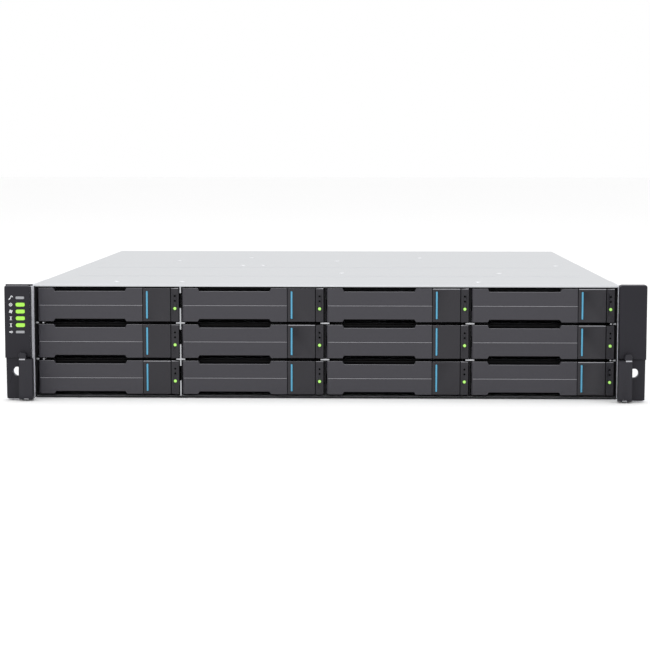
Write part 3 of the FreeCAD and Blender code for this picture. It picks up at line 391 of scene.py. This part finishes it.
def solids(node, roles, bevel=0.3, order=bulk):
    """A CAD node as one piece per solid, in the given order. Its split corners are joined and its flat faces
    merged, so that the edges can be rounded. roles gives (name, look) for each."""
    source = frame["nodes"][node]
    body = source["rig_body"]
    copy = bpy.data.objects.new(node + "_copy", source.data.copy())
    bpy.context.scene.collection.objects.link(copy)
    bpy.ops.object.select_all(action="DESELECT")
    bpy.context.view_layer.objects.active = copy
    copy.select_set(True)
    bpy.ops.object.mode_set(mode="EDIT")
    bpy.ops.mesh.select_all(action="SELECT")
    bpy.ops.mesh.remove_doubles(threshold=0.000002)
    bpy.ops.mesh.dissolve_limited(angle_limit=math.radians(0.3))
    bpy.ops.mesh.separate(type="LOOSE")
    bpy.ops.object.mode_set(mode="OBJECT")
    found = sorted(bpy.context.selected_objects, key=order)
    if len(found) != len(roles):
        raise SystemExit(f"{node} has {len(found)} solids, not {len(roles)}")
    for made, (name, look) in zip(found, roles):
        made.name = name
        made.data.name = name
        made.data.materials.clear()
        made.data.materials.append(PAINTS[look])
        finish_mesh(made, bevel)
        settle(made, body, ())
    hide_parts(node)
    return found


def box_of(node):
    """A node's lowest and highest corners in millimetres."""
    low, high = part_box(node)
    return np.array(low) / MM, np.array(high) / MM


# The steel body

def lid_shape(high, front, hem=1.5, margin=18.0, corner=1.2):
    """The lid as a section in depth and height carried across the width. Its top is the level less, for each
    groove, a depth times cos squared across the groove and a smooth step at the groove's ends."""
    half = high[0]
    across = np.concatenate([np.linspace(-half, -half + 1.3, 3),
                             np.linspace(-half + 1.5, -half + margin - 5, 4),
                             np.linspace(-half + margin - 4, -half + margin + 4, 9)])
    middle = np.linspace(-half + margin + 20, half - margin - 20, 12)
    across = np.concatenate([across, middle, -across[::-1]])
    near = [front + groove + np.linspace(-6, 6, 25) for groove in GROOVES]
    depth = np.sort(np.concatenate([front + np.array([corner, 3, 20, 60, 160, 260]), [high[1]], *near]))
    reach = np.clip((half - margin + 3 - np.abs(across)) / 6, 0, 1)
    reach = reach * reach * (3 - 2 * reach)
    dip = 0
    for groove in GROOVES:
        away = depth - front - groove
        dip = dip + np.where(np.abs(away) < GROOVE_HALF, np.cos(away / GROOVE_HALF * np.pi / 2) ** 2, 0)
    top = high[2] - GROOVE_DEEP * reach[:, None] * dip
    bend = np.radians(np.linspace(180, 100, 5))
    lip_y = front + corner + corner * np.cos(bend)
    lip_z = high[2] - corner + corner * np.sin(bend)
    hem_low = np.where(np.abs(across) > half - 1.25, high[2] - SHEET, high[2] - hem)[:, None]
    ones = np.ones((len(across), 1))
    y = np.concatenate([ones * (front + 0.8), ones * front, ones * lip_y, ones * depth,
                        ones * depth[::-1], ones * (front + 0.8)], 1)
    z = np.concatenate([hem_low, hem_low, ones * lip_z, top,
                        top[:, ::-1] - SHEET, ones * (high[2] - SHEET)], 1)
    return loft(np.stack([across[:, None] + 0 * y, y, z], -1))


def make_body():
    """The lid's two halves, the chassis, and the drive cage with its midplane. The chassis and the cage carry
    painted shade on their front faces and on the inner faces of their side walls."""
    low, high = box_of("top_cover")
    front, seam = low[1], low[1] + LID_FRONT
    piece("front_lid", "enclosure", "lid", lid_shape((high[0], seam, high[2]), front),
          replaces=["top_cover"])
    rear = swept(rectangle(low[0], high[0], high[2] - SHEET, high[2]), [seam + LID_SEAM, high[1]], "y")
    piece("rear_lid", "enclosure", "lid", rear, 0.3)
    base = solids("chassis_base", [("chassis_floor_and_sides", "zinc")], 0.2)[0]
    inner = high[0] - SHEET
    # Painted shade: the chassis's front faces and the inner faces of its side walls are made near black.
    shade(base, "shadow", lambda normals, middles: ((normals[:, 1] < -0.9) & (middles[:, 1] < front + 2))
          | ((np.abs(normals[:, 0]) > 0.9) & (np.abs(np.abs(middles[:, 0]) - inner) < 0.1)))
    names = ["cage_liner_left", "cage_divider_left", "cage_divider_middle", "cage_divider_right",
             "cage_liner_right"]
    for plate in solids("drive_cage", [(name, "zinc") for name in names], 0.2, placing):
        liner = "liner" in plate.name
        # Painted shade: the set-back front faces of the cage plates and the liners' inner faces are made near
        # black.
        shade(plate, "shadow", lambda normals, middles: ((normals[:, 1] < -0.9) & (middles[:, 1] > front + 2))
              | (liner & (np.abs(normals[:, 0]) > 0.9) & (np.abs(middles[:, 0]) > inner - 2)))
    solids("midplane_board", [("midplane_board_piece", "green")], 0.1)
    solids("drive_connectors", [(f"drive_connector_{i + 1}", "black") for i in range(len(BAYS))],
           0.2, placing)


def make_rivets():
    """Each cover screw as a low dome with a raised rim: a profile carried round. The heads are found as the
    groups of points in the cells of a grid, and one that two cells share is made once."""
    source = frame["nodes"]["cover_screws"].data
    points = np.empty(len(source.vertices) * 3, np.float32)
    source.vertices.foreach_get("co", points)
    points = points.reshape(-1, 3) / MM
    cells = np.unique(np.round(points[:, :2] / HEAD_CELL).astype(int), axis=0)
    top = points[:, 2].max()
    profile = [(0.05, -0.12), (0.9, -0.12), (1.1, 0), (1.6, 0), (2.1, -0.12), (2.4, -0.4), (2.4, -0.5)]
    heads = []
    done = np.zeros((0, 2))
    for cell in cells:
        near = points[(np.abs(points[:, :2] - cell * HEAD_CELL) < HEAD_CELL).all(1)][:, :2]
        centre = (near.max(0) + near.min(0)) / 2
        if len(done) and (np.abs(done - centre).max(1) < HEAD_APART).any():
            continue
        done = np.vstack([done, centre])
        heads.append(turned(profile, (*centre, top), "z", 28))
    piece("lid_screws", "enclosure", "bright", joined(heads), replaces=["cover_screws"])


# A drive carrier

def scoop_shape(left, right, edge, rise, front, back, slant=1.2):
    """A finger scoop behind an air notch: a sloping strip, from an edge at the front to one that is a rise
    higher at the back, carried across the notch."""
    strip = [(front, edge), (back, edge + rise), (back, edge + rise * 0.55), (front + 0.9, edge - rise * 0.3)]
    return swept(strip, [left + slant, right - slant], "x")


def make_carrier(row, column):
    """One carrier with its drive, flap, release button and lamp, and the drive's blank label and screws.
    Places are measured from the flap's lowest corner."""
    bay = f"r{row}c{column}"
    x, y, z = box_of(f"carrier_flap_{bay}")[0]
    front = y + 2.0
    roles = [(f"carrier_frame_{bay}", "frame"), (f"hard_drive_{bay}", "cast"), (f"light_pipe_{bay}", "led")]
    frame_piece, drive = solids(f"drive_carrier_{bay}", roles, 0.3)[:2]
    # Painted shade: the drive's front-facing faces take the dark carrier colour, so that the gaps above the
    # carriers read black.
    shade(drive, "frame", lambda normals, middles: normals[:, 1] < -0.3)
    shade(frame_piece, "strip", lambda normals, middles: middles[:, 1] < y + 1)
    weighted(frame_piece, longer(4.0, front))
    # Painted highlight on the up-and-forward edges of the lamp strip, the flap and the button.
    paint_edge_highlights(frame_piece, "edge", front)
    paint_edge_highlights(solids(f"carrier_flap_{bay}", [(f"flap_{bay}", "flap")], 0.35)[0], "edge", front)
    button = solids(f"release_button_{bay}", [(f"button_{bay}", "button"), (f"blue_stripe_{bay}", "stripe")],
                    0.4)[0]
    weighted(button, longer(3.0))
    paint_edge_highlights(button, "edge", front)
    # The scoops are the flap's plastic, darkened as painted shade in the notch recesses.
    scoops = [scoop_shape(x + 12.2, x + 68.0, z + edge, rise, y + 1.4, y + 5.6)
              for edge, rise in ((22.6, 1.5), (2.4, -1.5))]
    piece(f"flap_scoops_{bay}", f"flap_{bay}", "scoop", joined(scoops), 0.1)
    dome = [(1.15, 0.4), (1.15, -0.25), (1.0, -0.5), (0.65, -0.68), (0.05, -0.75)]
    piece(f"lamp_lens_{bay}", f"carrier_{bay}", "led", turned(dome, (x + 105, y, z + 9.9), "y", 24))
    drive_top = z + 25.8
    sticker = swept(rounded(x + 14, x + 94, y + 40, y + 130, 2.0), [drive_top - 0.04, drive_top + 0.04], "z")
    piece(f"drive_label_{bay}", f"carrier_{bay}", "label", sticker)
    bars = [swept(rectangle(x + 20, x + 60 + 18 * math.sin(i * 2.1), y + 52 + 8 * i, y + 54.5 + 8 * i),
                  [drive_top + 0.03, drive_top + 0.07], "z") for i in range(8)]
    piece(f"drive_label_print_{bay}", f"carrier_{bay}", "ink", joined(bars))
    head = [(0.05, -0.3), (2.6, -0.3), (2.9, 0.0), (2.9, 0.35), (2.3, 0.55), (0.05, 0.6)]
    screws = [turned(head, (x + 107.5, y + 16 + along, z + 6.7), "x", 20) for along in (28.5, 130.0)]
    piece(f"drive_screws_{bay}", f"carrier_{bay}", "bright", joined(screws))


# The ears

def symbol_shapes():
    """Six small flat signs, each a list of outlines about its own middle, in millimetres across and up."""
    turn = np.radians(np.arange(0, 360, 3.0))
    circle = np.stack([np.cos(turn), np.sin(turn)], -1)
    petals = []
    for quarter in range(4):
        lean = math.radians(90 * quarter + 25)
        tip = np.array([math.cos(lean), math.sin(lean)])
        petals.append(tip + 0.62 * circle * (1 + 0.5 * np.abs(np.cos(turn - lean)))[:, None])
    upright = [rectangle(-0.45, 0.45, -1.6, 1.6), rectangle(-1.1, 1.1, 1.3, 1.8),
               rectangle(-1.1, 1.1, -1.8, -1.3)]
    return [
        [stroke((-1.8, -1.8), (0.6, 0.6), 0.9), band(1.0, 0.8, -20, 250) * 0.85 + np.array([0.9, 0.9])],
        [stroke(a, b, 0.6) for a, b in (((-1.7, 0), (0, 1.7)), ((0, 1.7), (1.7, 0)), ((1.7, 0), (0, -1.7)),
                                        ((0, -1.7), (-1.7, 0)))] + [circle * 0.45],
        petals, upright, upright,
        [rectangle(-1.8, -0.6, -0.5, 0.5), np.array([(-0.7, -0.5), (0.5, -1.3), (0.5, 1.3), (-0.7, 0.5)]),
         band(1.5, 0.45, -40, 40)],
    ]


def make_indicators():
    """Five light bars with round ends, and a printed sign beside each and beside the mute key."""
    low, high = box_of("indicator_bars")
    top = box_of("left_ear_cover")[1][2] - BAR_TOP
    for i in range(5):
        wide, tall = (6.6, 2.0) if i == 0 else (6.9, 2.9)
        middle = top - BAR_PITCH * i
        outline = rounded(low[0], low[0] + wide, middle - tall / 2, middle + tall / 2, tall * 0.44)
        piece(f"indicator_{i + 1}", "enclosure", "dim" if i == 0 else "lamp",
              swept(outline, [low[1] - 0.15, high[1]], "y"), 0.12,
              replaces=["indicator_bars"] if i == 0 else ())
    signs = []
    for i, outlines in enumerate(symbol_shapes()):
        middle = np.array([low[0] - 3.7, top - BAR_PITCH * i])
        signs += [swept(outline * 0.76 + middle, [low[1] - 0.06, low[1] + 0.3], "y") for outline in outlines]
    piece("ear_symbols", "enclosure", "print", joined(signs))


def make_ears():
    """The steel brackets, dark in front, with a cover and a folding handle on each, and on the left the
    indicators and the mute key."""
    # The brackets' steel carries a painted reflection on the ears' inner sides: a paler, less metallic copy
    # of the galvanised steel.
    for made in solids("ear_brackets", [("ear_bracket_left", "return"), ("ear_bracket_right", "return")],
                       0.2, placing):
        shade(made, "ear", lambda normals, middles: normals[:, 1] < -0.7)
    for side in ("left", "right"):
        for part, look, slot in (("cover", "ear", "dark_plastic"), ("handle", "handle", "handle_plastic")):
            made = solids(f"{side}_ear_{part}", [(f"{side}_ear_{part}_shell", look)], 2.0)[0]
            weighted(made, long_edges(0.5))
            # Painted highlight on the rounded top edges of the covers and handles.
            paint_edge_highlights(made, "soft_highlight")
        low, high = box_of(f"{side}_ear_handle")
        # A thin pale strip in front of each handle's tab is a painted highlight below the finger lip, not a
        # part of the handle.
        tab = [low[0] + 0.5, low[0] + 5.1] if side == "left" else [high[0] - 5.1, high[0] - 0.5]
        highlight_strip = swept(rounded(*tab, high[2] - 5.6, high[2] - 4.6, 0.3), [low[1] - 0.3, low[1] + 0.5], "y")
        piece(f"{side}_handle_highlight_strip", f"{side}_handle", "edge", highlight_strip, 0.15)
    make_indicators()
    solids("mute_button", [("mute_key", "dim")], 0.4)


# The rear modules

def rotor_shape(centre, blades=7, inner=12.3, outer=26.6, thick=1.1):
    """A fan rotor: a turned hub, and blades that are sections carried outward. At a share s of the reach, a
    point at a share t of the chord lies at angle = start + lean s + chord t, and along the axis at pitch
    times t with a camber of sin(pi t). The section goes out along its upper side and back along its lower."""
    profile = [(0.05, 0), (9, 0), (12.2, 1.2), (12.5, 3), (12.5, 16), (11.4, 17), (0.05, 17)]
    hub = turned(profile, centre, "y", 48)
    share = np.linspace(0, 1, 10)[:, None]
    chord = np.linspace(0, 1, 9)
    path = np.concatenate([chord, chord[::-1]])
    side = np.concatenate([np.ones(9), -np.ones(9)]) * thick / 2
    parts = [hub]
    for i in range(blades):
        radius = inner + (outer - inner) * share
        angle = 2 * np.pi * i / blades + 0.45 * share + (0.78 - 0.12 * share) * (path - 0.5)
        along = 8.5 + (11.0 - 3.5 * share) * (path - 0.5) + 1.2 * np.sin(np.pi * path) + side
        ring = np.stack([radius * np.cos(angle), along, radius * np.sin(angle)], -1)
        parts.append(loft(ring + np.asarray(centre, float)))
    return joined(parts)


def make_controller(name):
    """One controller in its canister, its ejector lever, and in each network socket the contacts and two
    lamps."""
    roles = [("canister", "zinc"), ("heat_sink", "fins"), ("main_board", "green"), ("backup_battery", "wrap"),
             ("memory_1", "green"), ("memory_2", "green"), ("midplane_plug", "black"), ("processor", "black")]
    roles += [(f"network_socket_{i + 1}", "bright") for i in range(5)]
    roles += [(f"standoff_{i + 1}", "gold") for i in range(4)]
    parts = [(f"{name}_{role}", look) for role, look in roles]
    canister = solids(f"controller_{name}", parts, 0.25)[0]
    canister.modifiers.clear()
    canister.data.shade_flat()
    solids(f"controller_lever_{name}", [(f"{name}_ejector_lever", "touch")], 0.5)
    low = box_of(f"controller_{name}")[0]
    floor, rear = low[2] + SOCKET_FLOOR, box_of("top_cover")[1][1]
    contacts, links, traffic = [], [], []
    for i in range(5):
        left = low[0] + SOCKET_FIRST + SOCKET_PITCH * i
        for pin in range(8):
            start = left + 1.3 + 1.25 * pin
            outline = rectangle(start, start + 0.5, floor + 6.9, floor + 7.3)
            contacts.append(swept(outline, [rear - 11, rear - 3.5], "y"))
        for lamps, start in ((links, left + 0.2), (traffic, left + 9.2)):
            outline = rounded(start, start + 2.4, floor + 9.0, floor + 10.3, 0.3)
            lamps.append(swept(outline, [rear - 0.2, rear + 0.25], "y"))
    body = f"{name}_controller"
    piece(f"{name}_socket_contacts", body, "gold", joined(contacts))
    piece(f"{name}_link_lamps", body, "lamp", joined(links), 0.1)
    piece(f"{name}_traffic_lamps", body, "amber", joined(traffic), 0.1)


def make_supply(side):
    """One power supply, its latch, the pins in its mains inlet, its lamp and its fan's rotor."""
    roles = [("case", "zinc"), ("fan_frame", "black"), ("transformer", "tape"), ("supply_heat_sink", "fins"),
             ("supply_board", "green"), ("pull_handle", "black"), ("mains_inlet", "black"),
             ("supply_plug", "gold"), ("fan_guard", "bright")]
    parts = [(f"{side}_{role}", look) for role, look in roles]
    solids(f"power_supply_{side}", parts, 0.25)
    solids(f"supply_latch_{side}", [(f"{side}_latch", "touch")], 0.3)
    left, floor = box_of(f"power_supply_{side}")[0][[0, 2]]
    rear = box_of("top_cover")[1][1]
    inlet = left + INLET_MIDDLE
    pins = [swept(rectangle(inlet + across - 1, inlet + across + 1, floor + up, floor + up + 4),
                  [rear - 15.5, rear - 3], "y") for across, up in ((-7, 7.5), (0, 11.5), (7, 7.5))]
    piece(f"{side}_inlet_pins", f"{side}_supply", "bright", joined(pins), 0.2)
    dome = [(1.6, -0.3), (1.6, 0.2), (1.2, 0.6), (0.5, 0.8), (0.05, 0.85)]
    lamp = turned(dome, (left + 6, rear, floor + 60), "y", 24)
    piece(f"{side}_supply_lamp", f"{side}_supply", "lamp", lamp)
    low, high = box_of(f"fan_rotor_{side}")
    centre = ((low[0] + high[0]) / 2, low[1], floor + FAN_HEIGHT)
    piece(f"{side}_fan_blades", f"{side}_fan", "black", rotor_shape(centre),
          replaces=[f"fan_rotor_{side}"])


# The floor, lights and camera

def make_stage():
    """A pale floor in even white light, with a soft lamp above and a weaker one in front. A lamp at a place
    turns to face its aim."""
    floor = bpy.data.materials.new("pale_floor")
    floor.use_nodes = True
    floor.node_tree.nodes["Principled BSDF"].inputs["Base Color"].default_value = (0.97, 0.97, 0.97, 1)
    floor.node_tree.nodes["Principled BSDF"].inputs["Roughness"].default_value = 0.9
    bpy.ops.mesh.primitive_plane_add(size=30, location=(0, 0, -0.0005))
    ground = bpy.context.active_object
    ground.name = "floor"
    ground.data.materials.append(floor)
    world = bpy.data.worlds.new("studio")
    bpy.context.scene.world = world
    world.use_nodes = True
    world.node_tree.nodes["Background"].inputs["Color"].default_value = (1, 1, 1, 1)
    world.node_tree.nodes["Background"].inputs["Strength"].default_value = 1.0
    lamps = {"over": ((0, -0.3, 2.2), (0, 0, 0), 16), "front": ((-0.8, -2.6, 1.0), (0, -0.2, 0.04), 7)}
    wide = 1.6
    for name, (place, aim, power) in lamps.items():
        data = bpy.data.lights.new(name, "AREA")
        data.size = wide
        data.energy = power
        lamp = bpy.data.objects.new(name, data)
        bpy.context.scene.collection.objects.link(lamp)
        lamp.location = place
        toward = np.array(aim) - np.array(place)
        lamp.rotation_euler = (math.atan2(math.hypot(toward[0], toward[1]), -toward[2]), 0,
                               math.atan2(-toward[0], toward[1]))


def make_camera():
    """A long lens a little above the lid and to the right, which looks slightly down and to the left."""
    data = bpy.data.cameras.new("camera")
    data.sensor_width = 36
    data.lens = 97.57
    camera = bpy.data.objects.new("camera", data)
    camera.location = (0.0316, -1.5780, 0.1824)
    down, roll, left = 5.42, -0.03, 1.36
    camera.rotation_euler = (math.radians(90 - down), math.radians(roll), math.radians(left))
    bpy.context.scene.collection.objects.link(camera)
    bpy.context.scene.camera = camera
    bpy.context.scene.view_settings.view_transform = "Standard"


make_body()
make_rivets()
for bay_row, bay_column in BAYS:
    make_carrier(bay_row, bay_column)
make_ears()
for name in ("upper", "lower"):
    make_controller(name)
for side in ("left", "right"):
    make_supply(side)
PARTITIONS = ("partition_left", "module_shelf", "partition_right")
solids("module_partitions", [(part, "zinc") for part in PARTITIONS], 0.15, placing)
make_stage()
make_camera()
